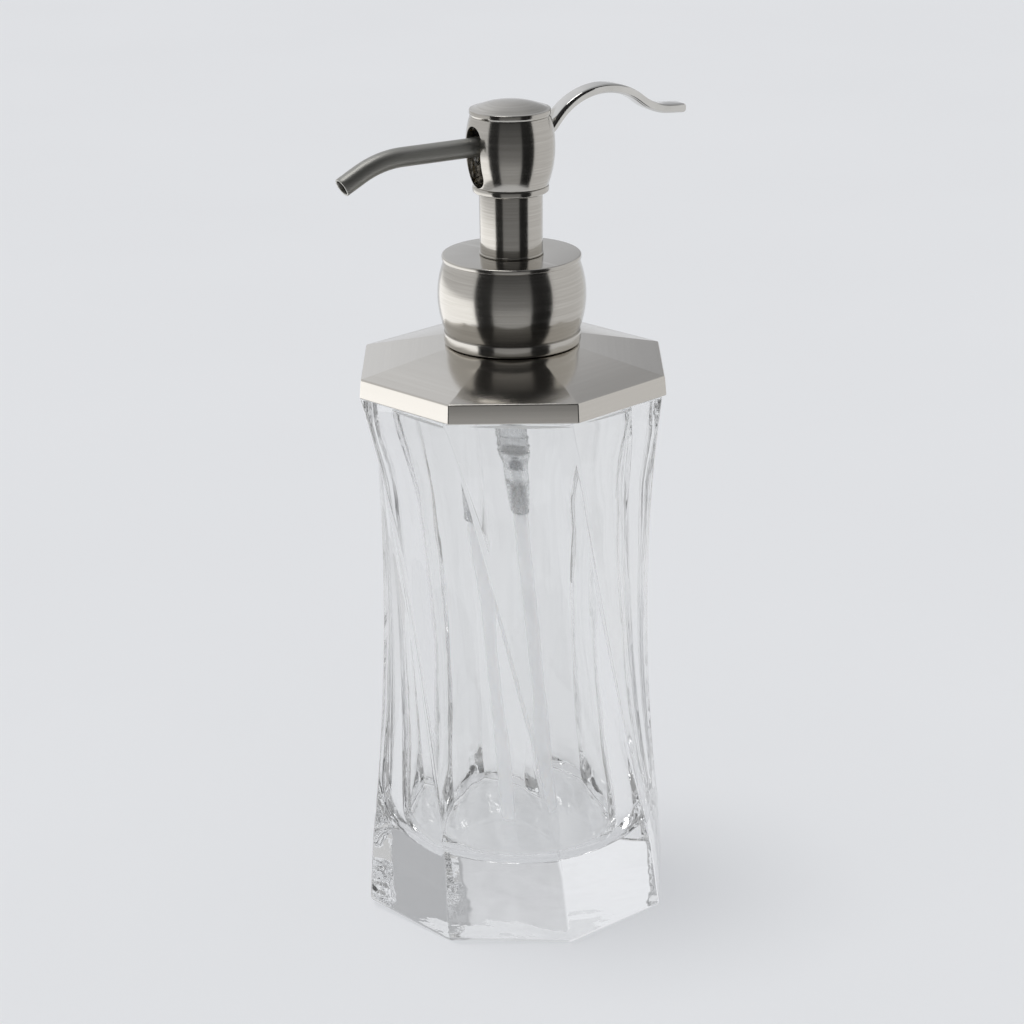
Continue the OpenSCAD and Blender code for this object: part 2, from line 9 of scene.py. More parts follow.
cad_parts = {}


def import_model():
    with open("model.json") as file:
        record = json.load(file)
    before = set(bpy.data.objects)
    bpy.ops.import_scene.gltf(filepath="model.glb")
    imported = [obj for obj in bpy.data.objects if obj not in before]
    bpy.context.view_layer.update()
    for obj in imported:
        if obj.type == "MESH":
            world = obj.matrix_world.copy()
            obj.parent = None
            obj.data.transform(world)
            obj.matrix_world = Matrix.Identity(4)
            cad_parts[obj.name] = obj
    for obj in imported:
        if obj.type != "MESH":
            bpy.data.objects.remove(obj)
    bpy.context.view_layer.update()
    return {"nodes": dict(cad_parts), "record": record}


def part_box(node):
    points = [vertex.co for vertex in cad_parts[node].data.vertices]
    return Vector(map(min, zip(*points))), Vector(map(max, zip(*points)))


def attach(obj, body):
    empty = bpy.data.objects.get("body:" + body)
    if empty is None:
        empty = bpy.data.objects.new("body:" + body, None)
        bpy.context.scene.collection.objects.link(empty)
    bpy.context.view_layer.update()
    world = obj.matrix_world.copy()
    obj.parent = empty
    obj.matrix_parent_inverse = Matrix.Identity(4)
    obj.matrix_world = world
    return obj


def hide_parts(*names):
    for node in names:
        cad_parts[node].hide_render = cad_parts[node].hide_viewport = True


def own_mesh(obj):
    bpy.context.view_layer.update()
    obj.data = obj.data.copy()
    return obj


MM = 0.001
HALF_CORNER = math.radians(22.5)  # half of the angle between two corners of an octagon

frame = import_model()
nodes = frame["nodes"]


def box_mm(node):
    """Lowest and highest corner of a CAD node, in millimetres."""
    low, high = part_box(node)
    return low / MM, high / MM


def turned_size(node):
    """Outer radius, lowest and highest point of a CAD node that is round about Z."""
    low, high = box_mm(node)
    return (high.x - low.x) / 2, low.z, high.z


# ---- outlines ------------------------------------------------------------------


def fillet(before, corner, after, radius, steps=6):
    """Arc points that round the corner between two straight runs."""
    to_before = (before - corner).normalized()
    to_after = (after - corner).normalized()
    half = math.acos(max(-1, min(1, to_before.dot(to_after)))) / 2
    reach = min(radius / math.tan(half), 0.49 * (before - corner).length, 0.49 * (after - corner).length)
    radius = reach * math.tan(half)
    centre = corner + (to_before + to_after).normalized() * (radius / math.sin(half))
    start = corner + to_before * reach - centre
    end = corner + to_after * reach - centre
    turn = start.angle_signed(end)
    points = []
    for i in range(steps + 1):
        points.append(centre + Matrix.Rotation(-turn * i / steps, 2) @ start)
    return points


def rounded(corners, closed=True):
    """Outline through (x, z, radius) corners, each rounded by its own radius."""
    count = len(corners)
    points = []
    for i, (x, z, radius) in enumerate(corners):
        here = Vector((x, z))
        if radius and (closed or 0 < i < count - 1):
            before = Vector(corners[i - 1][:2])
            after = Vector(corners[(i + 1) % count][:2])
            points += fillet(before, here, after, radius)
        else:
            points.append(here)
    return points


def bulge(t, low, middle, high, place):
    """Smooth curve through three radii: at 0, at the fraction place and at 1."""
    return (low * (t - place) * (t - 1) / place
            + middle * t * (t - 1) / (place * (place - 1))
            + high * t * (t - place) / (1 - place))


# ---- mesh helpers ----------------------------------------------------------------


def finish_mesh(name, bm, body, replaced, material, sharp=35):
    """Object from a bmesh: welded, facing outwards, smooth but for its sharp edges."""
    bmesh.ops.remove_doubles(bm, verts=bm.verts, dist=1e-7)
    bmesh.ops.recalc_face_normals(bm, faces=bm.faces)
    mesh = bpy.data.meshes.new(name)
    bm.to_mesh(mesh)
    bm.free()
    mesh.shade_smooth()
    mesh.set_sharp_from_angle(angle=math.radians(sharp))
    mesh.materials.append(material)
    piece = bpy.data.objects.new(name, mesh)
    bpy.context.collection.objects.link(piece)
    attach(piece, body)
    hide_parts(*replaced)
    return piece


def add_skin(bm, rings, closed_loop=False):
    """Quads between equal rings of points in millimetres. The ends are closed with fans."""
    count = len(rings[0])
    verts = [[bm.verts.new(Vector(p) * MM) for p in ring] for ring in rings]
    pairs = list(zip(verts, verts[1:]))
    if closed_loop:
        pairs.append((verts[-1], verts[0]))
    for low, high in pairs:
        for i in range(count):
            j = (i + 1) % count
            bm.faces.new((low[i], low[j], high[j], high[i]))
    if not closed_loop:
        for ring, points in ((verts[0], rings[0]), (verts[-1], rings[-1])):
            centre = bm.verts.new(sum((Vector(p) for p in points), Vector()) / count * MM)
            for i in range(count):
                bm.faces.new((ring[i], ring[(i + 1) % count], centre))


def full_turn(count):
    """Evenly spread angles."""
    return [math.tau * i / count for i in range(count)]


def circle_ring(radius, z, steps=144):
    """Level circle about Z."""
    return [(radius * math.cos(a), radius * math.sin(a), z) for a in full_turn(steps)]


def turned(name, outline, body, replaced, material, closed_loop=True):
    """Piece made by turning an outline of (radius, height) points about Z."""
    bm = bmesh.new()
    add_skin(bm, [circle_ring(radius, z) for radius, z in outline], closed_loop)
    return finish_mesh(name, bm, body, replaced, material)


def off_axis(out, across, angle, z):
    """Point this far out from the axis in a direction, and this far across it."""
    cos, sin = math.cos(angle), math.sin(angle)
    return (out * cos - across * sin, out * sin + across * cos, z)


def octagon_ring(flat, corner, z, turn=0.0, flat_steps=5, corner_steps=6, hollow=0.0):
    """Octagon with rounded corners.

    flat is the distance from the axis to a side, and hollow is how far the middle of a side sinks.
    """
    centre = (flat - corner) / math.cos(HALF_CORNER)
    run = centre * math.sin(HALF_CORNER)
    ring = []
    for k in range(8):
        a = (2 * k + 1) * HALF_CORNER + turn
        for i in range(flat_steps):
            t = run * i / flat_steps
            ring.append(off_axis(flat - hollow * (1 - (t / run) ** 2), t, a - HALF_CORNER, z))
        for i in range(corner_steps + 1):
            b = HALF_CORNER * (2 * i / corner_steps - 1)
            ring.append(off_axis(centre + corner * math.cos(b), corner * math.sin(b), a, z))
        for i in range(1, flat_steps):
            t = run * (1 - i / flat_steps)
            ring.append(off_axis(flat - hollow * (1 - (t / run) ** 2), -t, a + HALF_CORNER, z))
    return ring


def round_ring(radius, z, like):
    """Circle whose points lie at the same angles as those of another ring."""
    ring = []
    for x, y, _ in like:
        a = math.atan2(y, x)
        ring.append((radius * math.cos(a), radius * math.sin(a), z))
    return ring


def applied(piece, modifier):
    """Makes one modifier's result the piece's own mesh."""
    bpy.context.view_layer.update()
    result = bpy.data.meshes.new_from_object(piece.evaluated_get(bpy.context.evaluated_depsgraph_get()))
    piece.modifiers.remove(modifier)
    piece.data = result


def carve(piece, cutter_bm):
    """Takes a bmesh out of a piece."""
    mesh = bpy.data.meshes.new("cutter")
    bmesh.ops.recalc_face_normals(cutter_bm, faces=cutter_bm.faces)
    cutter_bm.to_mesh(mesh)
    cutter_bm.free()
    cutter = bpy.data.objects.new("cutter", mesh)
    bpy.context.collection.objects.link(cutter)
    cut = piece.modifiers.new("cut", "BOOLEAN")
    cut.operation = "DIFFERENCE"
    cut.solver = "EXACT"
    cut.object = cutter
    applied(piece, cut)
    bpy.data.objects.remove(cutter)


def soften(piece, width):
    """Small bevel on the sharp edges, with smooth shading across it."""
    piece.data.shade_smooth()
    edge = piece.modifiers.new("edge", "BEVEL")
    edge.width = width * MM
    edge.segments = 2
    edge.limit_method = "ANGLE"
    edge.angle_limit = math.radians(50)
    edge.harden_normals = False
    applied(piece, edge)
    piece.data.shade_smooth()
    piece.data.set_sharp_from_angle(angle=math.radians(40))


# ---- materials ---------------------------------------------------------------------


def add(tree, kind, inputs=None, **settings):
    """New node with its settings, and with its input values or links."""
    made = tree.nodes.new("ShaderNode" + kind)
    for key, value in settings.items():
        setattr(made, key, value)
    for key, value in (inputs or {}).items():
        if isinstance(value, bpy.types.NodeSocket):
            tree.links.new(value, made.inputs[key])
        else:
            made.inputs[key].default_value = value
    return made


def new_material(name):
    """Empty node tree with a Principled shader on its output."""
    material = bpy.data.materials.new(name)
    material.use_nodes = True
    tree = material.node_tree
    tree.nodes.clear()
    shader = add(tree, "BsdfPrincipled")
    output = add(tree, "OutputMaterial")
    tree.links.new(shader.outputs["BSDF"], output.inputs["Surface"])
    return material, tree, shader


def noise(tree, scale, size=1.0, detail=3.0, rough=0.5):
    """Noise in object space, with its own scale along each axis, per metre."""
    where = add(tree, "TexCoord")
    stretched = add(tree, "Mapping", {"Vector": where.outputs["Object"], "Scale": scale})
    return add(tree, "TexNoise", {"Vector": stretched.outputs["Vector"], "Scale": size, "Detail": detail,
                                  "Roughness": rough}).outputs["Fac"]


def spread(tree, value, low, high, start=0.0, end=1.0):
    """Maps a value from start..end to low..high."""
    return add(tree, "MapRange", {"Value": value, "From Min": start, "From Max": end,
                                  "To Min": low, "To Max": high}).outputs["Result"]


def ease(tree, value, start, end):
    """Rises smoothly from 0 to 1 while a value goes from start to end."""
    return add(tree, "MapRange", {"Value": value, "From Min": start, "From Max": end,
                                  "To Min": 0, "To Max": 1},
               interpolation_type="SMOOTHSTEP").outputs["Result"]


def tint(tree, factor, dark, light):
    """Colour between two others."""
    return add(tree, "Mix", {"Factor": factor, "A": (*dark, 1), "B": (*light, 1)},
               data_type="RGBA").outputs["Result"]


def blend_values(tree, factor, a, b):
    """Value between two others."""
    return add(tree, "Mix", {"Factor": factor, "A": a, "B": b}).outputs["Result"]


def mix_values(tree, operation, a, b):
    """One arithmetic step on two values."""
    return add(tree, "Math", {0: a, 1: b}, operation=operation).outputs["Value"]


def edge_highlight_mask(tree):
    """1 on convex edges and 0 elsewhere: the mask of a painted highlight along the edges."""
    shape = add(tree, "NewGeometry")
    return spread(tree, shape.outputs["Pointiness"], 0, 1, 0.51, 0.6)


def brushed_metal(name, dark, light, low_rough, high_rough, lines=(60, 60, 4200), strength=0.25, stretch=0.4):
    """Metal with fine parallel brush lines, cloudy gloss and a painted highlight on its convex edges."""
    material, tree, shader = new_material(name)
    fine = noise(tree, lines, detail=2.0, rough=0.6)
    coarse = noise(tree, [value * 0.4 for value in lines], detail=2.0)
    cloud = noise(tree, (55, 55, 55), detail=2.0)
    grain = mix_values(tree, "ADD", mix_values(tree, "MULTIPLY", fine, 0.6),
                       mix_values(tree, "MULTIPLY", coarse, 0.4))
    edge = edge_highlight_mask(tree)
    shade = spread(tree, grain, 0, 1, 0.3, 0.7)
    colour = tint(tree, shade, dark, light)
    # painted highlight: pale grey added to the colour along convex edges
    bright = tint(tree, mix_values(tree, "MULTIPLY", edge, 0.6), (0, 0, 0), (0.12, 0.12, 0.12))
    shader_colour = add(tree, "Mix", {"Factor": 1.0, "A": colour, "B": bright},
                        data_type="RGBA", blend_type="ADD").outputs["Result"]
    blur = spread(tree, mix_values(tree, "ADD", grain, mix_values(tree, "MULTIPLY", cloud, 0.8)),
                  low_rough, high_rough, 0.6, 1.2)
    relief = add(tree, "Bump", {"Height": grain, "Strength": strength, "Distance": 0.00002})
    tree.links.new(shader_colour, shader.inputs["Base Color"])
    tree.links.new(blur, shader.inputs["Roughness"])
    tree.links.new(relief.outputs["Normal"], shader.inputs["Normal"])
    shader.inputs["Metallic"].default_value = 1
    shader.inputs["Anisotropic"].default_value = stretch
    tangent = add(tree, "Tangent", direction_type="RADIAL", axis="Z")
    tree.links.new(tangent.outputs["Tangent"], shader.inputs["Tangent"])
    return material


def polished_metal(name, dark, light, low_rough, high_rough):
    """Smooth plated metal with faint clouding, fine scratches and a painted highlight on its convex edges."""
    material, tree, shader = new_material(name)
    cloud = noise(tree, (120, 120, 120), detail=3.0)
    scratch = noise(tree, (900, 900, 9000), detail=1.0)
    edge = edge_highlight_mask(tree)
    # painted highlight: convex edges take the lighter colour
    colour = tint(tree, mix_values(tree, "MAXIMUM", spread(tree, cloud, 0, 0.8, 0.3, 0.7), edge), dark, light)
    blur = spread(tree, mix_values(tree, "ADD", cloud, mix_values(tree, "MULTIPLY", scratch, 0.5)),
                  low_rough, high_rough, 0.5, 1.0)
    relief = add(tree, "Bump", {"Height": cloud, "Strength": 0.15, "Distance": 0.0001})
    tree.links.new(colour, shader.inputs["Base Color"])
    tree.links.new(blur, shader.inputs["Roughness"])
    tree.links.new(relief.outputs["Normal"], shader.inputs["Normal"])
    shader.inputs["Metallic"].default_value = 1
    return material


def pressed_glass():
    """Clear glass with the faint waves that a mould leaves."""
    material, tree, shader = new_material("pressed_glass")
    wave = noise(tree, (45, 45, 16), detail=2.0)
    ripple = noise(tree, (260, 260, 60), detail=2.0)
    height = mix_values(tree, "ADD", wave, mix_values(tree, "MULTIPLY", ripple, 0.05))
    relief = add(tree, "Bump", {"Height": height, "Strength": 0.6, "Distance": 0.0012})
    colour = tint(tree, spread(tree, wave, 0, 1, 0.3, 0.7), (0.968, 0.97, 0.967), (0.982, 0.983, 0.98))
    blur = spread(tree, ripple, 0.0, 0.012, 0.3, 0.7)
    tree.links.new(colour, shader.inputs["Base Color"])
    tree.links.new(blur, shader.inputs["Roughness"])
    tree.links.new(relief.outputs["Normal"], shader.inputs["Normal"])
    shader.inputs["IOR"].default_value = 1.5
    shader.inputs["Transmission Weight"].default_value = 1
    return material


def moulded_plastic(name, dark, light, rough, clear=0.0, milk=0.0):
    """Moulded polymer with cloudy colour, a faint skin texture and soft gloss."""
    material, tree, shader = new_material(name)
    cloud = noise(tree, (180, 180, 90), detail=3.0)
    skin = noise(tree, (2600, 2600, 2600), detail=2.0)
    colour = tint(tree, spread(tree, cloud, 0, 1, 0.3, 0.7), dark, light)
    blur = spread(tree, skin, rough - 0.06, rough + 0.06, 0.3, 0.7)
    relief = add(tree, "Bump", {"Height": skin, "Strength": 0.2, "Distance": 0.00003})
    tree.links.new(colour, shader.inputs["Base Color"])
    tree.links.new(blur, shader.inputs["Roughness"])
    tree.links.new(relief.outputs["Normal"], shader.inputs["Normal"])
    shader.inputs["IOR"].default_value = 1.49
    shader.inputs["Transmission Weight"].default_value = clear
    shader.inputs["Subsurface Weight"].default_value = milk
    shader.inputs["Subsurface Radius"].default_value = (1, 0.9, 0.8)
    shader.inputs["Subsurface Scale"].default_value = 0.002
    return material


nickel = brushed_metal("brushed_nickel", (0.46, 0.44, 0.405), (0.57, 0.55, 0.515), 0.11, 0.19,
                       lines=(45, 45, 3400), strength=0.15)
# painted light: the lid's copy of the nickel is paler than the barrel's; its finer brush lines are its own
lid_nickel_painted_paler = brushed_metal("brushed_nickel_lid_painted_light", (0.60, 0.575, 0.535), (0.64, 0.615, 0.575), 0.13, 0.18,
                           lines=(30, 30, 9000), strength=0.05, stretch=0.0)
# painted shade: the spout's copy of the nickel is darker than the barrel's; its rougher finish is its own
spout_nickel_painted_darker = brushed_metal("brushed_nickel_spout_painted_shade", (0.38, 0.375, 0.35), (0.45, 0.445, 0.42), 0.42, 0.5,
                             lines=(220, 220, 3200), strength=0.1, stretch=0.0)
tube_plastic = moulded_plastic("dip_tube_polyethylene", (0.96, 0.963, 0.966), (0.985, 0.986, 0.988), 0.4,
                               milk=0.3)
tube_plastic.node_tree.nodes["Principled BSDF"].inputs["Alpha"].default_value = 0.4
MATERIALS = {
    "glass": pressed_glass(),
    "nickel": nickel,
    "polished": polished_metal("polished_nickel", (0.60, 0.59, 0.57), (0.72, 0.71, 0.69), 0.04, 0.1),
    "steel": polished_metal("stainless_steel", (0.52, 0.53, 0.55), (0.68, 0.69, 0.71), 0.18, 0.3),
    "brass": brushed_metal("turned_brass", (0.62, 0.5, 0.26), (0.76, 0.64, 0.38), 0.2, 0.32),
    "clear_plastic": moulded_plastic("natural_polypropylene", (0.93, 0.935, 0.94), (0.97, 0.975, 0.98), 0.25,
                                     clear=0.9),
    "white_plastic": moulded_plastic("white_polypropylene", (0.84, 0.84, 0.83), (0.93, 0.93, 0.92), 0.35,
                                     milk=0.15),
    "grey_rubber": moulded_plastic("grey_elastomer", (0.10, 0.10, 0.105), (0.17, 0.17, 0.175), 0.6),
}
SLOTS = {part["node"]: part["material_slot"] for part in frame["record"]["subparts"]}

for name, node in nodes.items():
    node.data.materials.clear()
    node.data.materials.append(MATERIALS[SLOTS[name]])


# ---- bottle --------------------------------------------------------------------------

BLOCK_H = 18                       # height of the solid block at the base
WAIST_Z = 78                       # height of the narrowest place
GLASS_TURN = math.radians(-3.6)    # turn of the octagon at the table
BLOCK_TWIST = math.radians(2.2)    # twist over the block
TWIST = math.radians(43.6)         # twist over the whole height
CAVITY_FLOOR = 17
CAVITY_CORNER = 9.5                # size of the soft corner round the hollow's floor
CAVITY_TOP = 108                   # from here the hollow widens to the mouth
MOUTH_R = 32
MOUTH_LIP_R = 34.5
MOUTH_DEPTH = 4


def glass_radius(z, glass_h):
    """Corner-to-centre radius of the outer octagon."""
    base_r, block_r, waist_r, rim_r = 41.2, 39.6, 34.4, 40.6
    if z < BLOCK_H:
        return base_r + (block_r - base_r) * z / BLOCK_H
    if z < WAIST_Z:
        return waist_r + (block_r - waist_r) * ((WAIST_Z - z) / (WAIST_Z - BLOCK_H)) ** 2
    return waist_r + (rim_r - waist_r) * ((z - WAIST_Z) / (glass_h - WAIST_Z)) ** 2.2


def glass_angle(z, glass_h):
    """Turn of the outer octagon."""
    if z < BLOCK_H:
        return GLASS_TURN - BLOCK_TWIST * z / BLOCK_H
    rise = (z - BLOCK_H) / (glass_h - BLOCK_H)
    return GLASS_TURN - BLOCK_TWIST - (TWIST - BLOCK_TWIST) * rise ** 1.1


def cavity_wall(z):
    """Radius of the hollow."""
    middle_r, floor_r = 28.2, 33.6
    return middle_r + (floor_r - middle_r) * ((WAIST_Z - z) / WAIST_Z) ** 2


def edge_inset(distance, radius):
    """How far a rounded edge draws back at this distance from the flat."""
    if distance >= radius:
        return 0
    return radius - math.sqrt(radius ** 2 - (radius - distance) ** 2)


def glass_bottle():
    """One closed surface: twisted octagon outside, shoulder, round lip and turned hollow.

    It lets diffuse light and the key through, as clear glass does in a bright studio.
    """
    glass_h = box_mm("lid_shell")[0].z
    mouth_z = box_mm("glass_bottle")[1].z
    base_round, shoulder_round = 1.4, 0.7
    ridge_r, ridge_swell, sink = 1.5, 1.3, 0.7
    heights = [base_round * (1 - math.cos(math.pi / 2 * i / 5)) for i in range(6)]
    heights += [base_round + (glass_h - shoulder_round - base_round) * i / 90 for i in range(1, 91)]
    heights += [glass_h - shoulder_round * (1 - math.sin(math.pi / 2 * i / 5)) for i in range(1, 6)]
    rings = []
    for z in heights:
        inset = edge_inset(z, base_round) + edge_inset(glass_h - z, shoulder_round)
        flat = glass_radius(z, glass_h) * math.cos(HALF_CORNER) - inset
        swell = math.sin(math.pi * min(1, max(0, (z - BLOCK_H) / (glass_h - BLOCK_H))))
        ridge = ridge_r + ridge_swell * swell
        rings.append(octagon_ring(flat, ridge, z, glass_angle(z, glass_h), hollow=sink * swell))
    under = [[(x * k, y * k, 0) for x, y, _ in rings[0]] for k in (0.3, 0.7, 0.95)]
    inside = rounded([(MOUTH_LIP_R, glass_h, 0), (MOUTH_LIP_R, mouth_z, 0.6), (MOUTH_R, mouth_z, 0.6),
                      (MOUTH_R, glass_h - MOUTH_DEPTH, 0)], closed=False)
    rim = cavity_wall(CAVITY_TOP)
    for i in range(1, 21):
        t = 1 - i / 20
        inside.append(Vector((rim + (MOUTH_R - rim) * (1 - math.cos(math.pi * t)) / 2,
                              CAVITY_TOP + (glass_h - MOUTH_DEPTH - CAVITY_TOP) * t)))
    low_z = CAVITY_FLOOR + CAVITY_CORNER
    softness = 0.8
    for i in range(1, 61):
        z = CAVITY_TOP + (low_z - CAVITY_TOP) * i / 60
        inside.append(Vector((cavity_wall(z), z)))
    foot_r = cavity_wall(low_z)
    for i in range(1, 25):
        a = math.pi / 2 * i / 24
        inside.append(Vector((foot_r - CAVITY_CORNER * (1 - max(0.0, math.cos(a)) ** softness),
                              low_z - CAVITY_CORNER * math.sin(a) ** softness)))
    inside += [Vector((foot_r * k, CAVITY_FLOOR)) for k in (0.6, 0.4, 0.2)]
    bm = bmesh.new()
    add_skin(bm, under + rings + [round_ring(p.x, p.y, rings[-1]) for p in inside])
    glass = finish_mesh("glass_body", bm, "bottle", ["glass_bottle"], MATERIALS["glass"], sharp=50)
    glass.visible_diffuse = False
    glass.visible_shadow = False


# ---- lid and collar --------------------------------------------------------------------


def lid():
    """Octagonal cap: a flared skirt, a sloping top and the hole for the neck."""
    low, high = box_mm("lid_shell")
    wall, corner = 1.2, 0.75
    foot_flat, skirt_flat, top_flat, hole_r = high.x, high.x - 0.4, 17.2, 12.62
    skirt_z = low.z + 4.9
    outline = rounded([(foot_flat - wall, low.z, 0), (foot_flat, low.z, 0.35), (skirt_flat, skirt_z, 0.55),
                       (top_flat, high.z, 0)], closed=False)
    roof = rounded([(top_flat, high.z - wall, 0), (skirt_flat - wall, skirt_z - wall, 0.4),
                    (foot_flat - wall, low.z, 0)], closed=False)
    rings = [octagon_ring(p.x, corner, p.y) for p in outline]
    rings.append(round_ring(hole_r, high.z, rings[0]))
    rings.append(round_ring(hole_r, high.z - wall, rings[0]))
    rings += [octagon_ring(p.x, corner, p.y) for p in roof[:-1]]
    bm = bmesh.new()
    add_skin(bm, rings, closed_loop=True)
    finish_mesh("lid_cap", bm, "bottle", ["lid_shell"], lid_nickel_painted_paler, sharp=25)


def collar():
    """Barrel with a bead at its foot, and the disc that closes it."""
    radius, low, high = turned_size("collar_shell")
    bore = 15.65
    bead_r, bead_h, bead_round = 17.2, 3.0, 1.1
    foot_r, top_r, widest = 16.75, 16.8, 0.46
    wall = []
    for i in range(41):
        t = i / 40
        wall.append((bulge(t, foot_r, radius, top_r, widest), low + bead_h + (high - low - bead_h) * t, 0))
    outline = rounded([(bore, low, 0), (bead_r, low, bead_round), (bead_r, low + bead_h, bead_round),
                       (foot_r + 0.02, low + bead_h - 0.05, 0)] + wall + [(bore, high, 0)])
    turned("collar_barrel", outline, "collar", ["collar_shell"], nickel)

    radius, _, top = turned_size("collar_disc")
    hole_r, step_r, spigot_r = 7.0, 10.6, 15.63
    under = top - 1.2
    boss_z, spigot_z = under - 0.4, under - 2
    outline = rounded([(hole_r, top, 0.15), (hole_r, boss_z, 0), (step_r, boss_z, 0), (step_r, spigot_z, 0.2),
                       (spigot_r, spigot_z, 0.2), (spigot_r, under, 0), (radius, under, 0.3),
                       (radius, top, 0.42)])
    turned("collar_top", outline, "collar", ["collar_disc"], nickel)


# ---- head --------------------------------------------------------------------------------

HEAD_TURN = math.radians(210)    # the spout's direction
TENON_R = 7.22                   # bore of the ring and of the barrel's floor, round the column's tenon
head_matrix = Matrix.Rotation(HEAD_TURN, 4, "Z")


def column():
    """Tube between the collar and the head, with a fine bead at its foot."""
    radius, low, high = turned_size("neck_column")
    foot_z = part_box("collar_disc")[1].z / MM + 0.05
    top_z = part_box("head_ring")[0].z / MM
    spigot_r, bore, tenon_r = 6.94, 6.4, 7.2
    foot_r = radius - 0.1
    bead_r, bead_z = foot_r + 0.18, foot_z + 0.5
    outline = rounded([(bore, low, 0), (spigot_r, low, 0.3), (spigot_r, foot_z, 0), (bead_r, foot_z, 0.15),
                       (bead_r, bead_z, 0.2), (foot_r, bead_z + 0.05, 0), (radius, top_z, 0.1),
                       (tenon_r, top_z, 0), (tenon_r, high, 0.3), (bore, high, 0)])
    turned("head_column", outline, "head", ["neck_column"], nickel)


def ring():
    """Lip between the column and the barrel."""
    radius, low, high = turned_size("head_ring")
    outline = rounded([(TENON_R, low, 0.1), (radius, low, 0.55), (radius, high, 0.45), (TENON_R, high, 0)])
    turned("head_lip", outline, "head", ["head_ring"], nickel)


def slot_cutter(side, width, low, high, round_r):
    """Prism across one wall of the barrel, with rounded corners. side is 1 for the spout's wall."""
    bm = bmesh.new()
    outline = rounded([(-width / 2, low, round_r), (width / 2, low, round_r),
                       (width / 2, high, round_r), (-width / 2, high, round_r)])
    inner_x, outer_x = 6.9, 16
    rings = []
    for x in (inner_x, outer_x):
        rings.append([head_matrix @ Vector((side * x, side * p.x, p.y)) for p in outline])
    add_skin(bm, rings)
    return bm


def barrel():
    """Hollow barrel with a long round-ended slot for the spout and a square one for the lever."""
    low, high = box_mm("head_barrel")
    height = high.z - low.z
    foot_r, middle_r, top_r, widest = 9.3, 11.04, 9.9, 0.5
    bore, floor_t = 8.9, 1.1
    wall = []
    for i in range(45):
        t = i / 44
        round_r = 0.2 if i in (0, 44) else 0
        wall.append((bulge(t, foot_r, middle_r, top_r, widest), low.z + height * t, round_r))
    outline = rounded([(TENON_R, low.z, 0)] + wall
                      + [(bore, high.z, 0.15), (bore, low.z + floor_t, 0.3), (TENON_R, low.z + floor_t, 0)])
    piece = turned("head_shell", outline, "head", ["head_barrel"], nickel)
    carve(piece, slot_cutter(side=1, width=7, low=low.z + 0.1, high=low.z + 15.5, round_r=3.45))
    carve(piece, slot_cutter(side=-1, width=5.6, low=low.z + 0.4, high=low.z + 15.4, round_r=0.4))
    soften(piece, 0.14)


def cap():
    """Domed cap with a rounded rim and a stud below."""
    radius, _, high = turned_size("head_cap")
    low = box_mm("head_barrel")[1].z
    stud_r, stud_z = 1.48, box_mm("head_cap")[0].z
    rim_z, dome_r = low + 1.5, 9.6
    dome_z = rim_z - 0.05
    dome = []
    for i in range(1, 24):
        t = 1 - i / 24
        dome.append(Vector((dome_r * t, dome_z + (high - dome_z) * (1 - t ** 2.2))))
    outline = rounded([(0, stud_z, 0), (stud_r, stud_z, 0.2), (stud_r, low, 0), (radius - 0.2, low, 0.2),
                       (radius, low + 0.5, 0.4), (radius, rim_z, 0.45), (dome_r, rim_z + 0.05, 0)],
                      closed=False)
    turned("head_dome", outline[1:] + dome, "head", ["head_cap"], nickel, closed_loop=False)


def spring():
    """Coil with closed, flattened ends."""
    _, low, high = turned_size("return_spring")
    mean_r, wire_r, turns, sides, steps = 4.7, 0.55, 7, 12, 28
    end_turns = 0.75
    start, end = low + wire_r, high - wire_r
    rings = []
    for i in range(turns * steps + 1):
        turn = i / steps
        rise = max(0.0, min(1.0, (turn - end_turns) / (turns - 2 * end_turns)))
        z = start + (end - start) * rise
        rings.append([off_axis(mean_r + wire_r * math.cos(b), 0, math.tau * turn, z + wire_r * math.sin(b))
                      for b in full_turn(sides)])
    bm = bmesh.new()
    add_skin(bm, rings)
    piece = finish_mesh("coil_spring", bm, "head", ["return_spring"], MATERIALS["steel"])
    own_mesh(piece)


# ---- spout and lever -----------------------------------------------------------------------


def ahead(point, distance):
    """The point this far on along its own heading. A point is (x, z, heading)."""
    x, z, heading = point
    return (x + distance * math.cos(heading), z + distance * math.sin(heading), heading)


def turn_to(path, degrees, radius, steps):
    """Adds an arc to the path that ends at this heading."""
    x, z, start = path[-1]
    end = math.radians(degrees)
    side = 1 if end > start else -1
    for i in range(1, steps + 1):
        heading = start + (end - start) * i / steps
        path.append((x + side * radius * (math.sin(heading) - math.sin(start)),
                     z + side * radius * (math.cos(start) - math.cos(heading)), heading))


def across_path(point, section, mirror=1):
    """A section of (sideways, upwards) points, set square to a path in the head's XZ plane."""
    x, z, heading = point
    return [head_matrix @ Vector((mirror * (x - up * math.sin(heading)), side, z + up * math.cos(heading)))
            for side, up in section]


def circle(radius, sides=40):
    """Round section."""
    return [(radius * math.cos(a), radius * math.sin(a)) for a in full_turn(sides)]


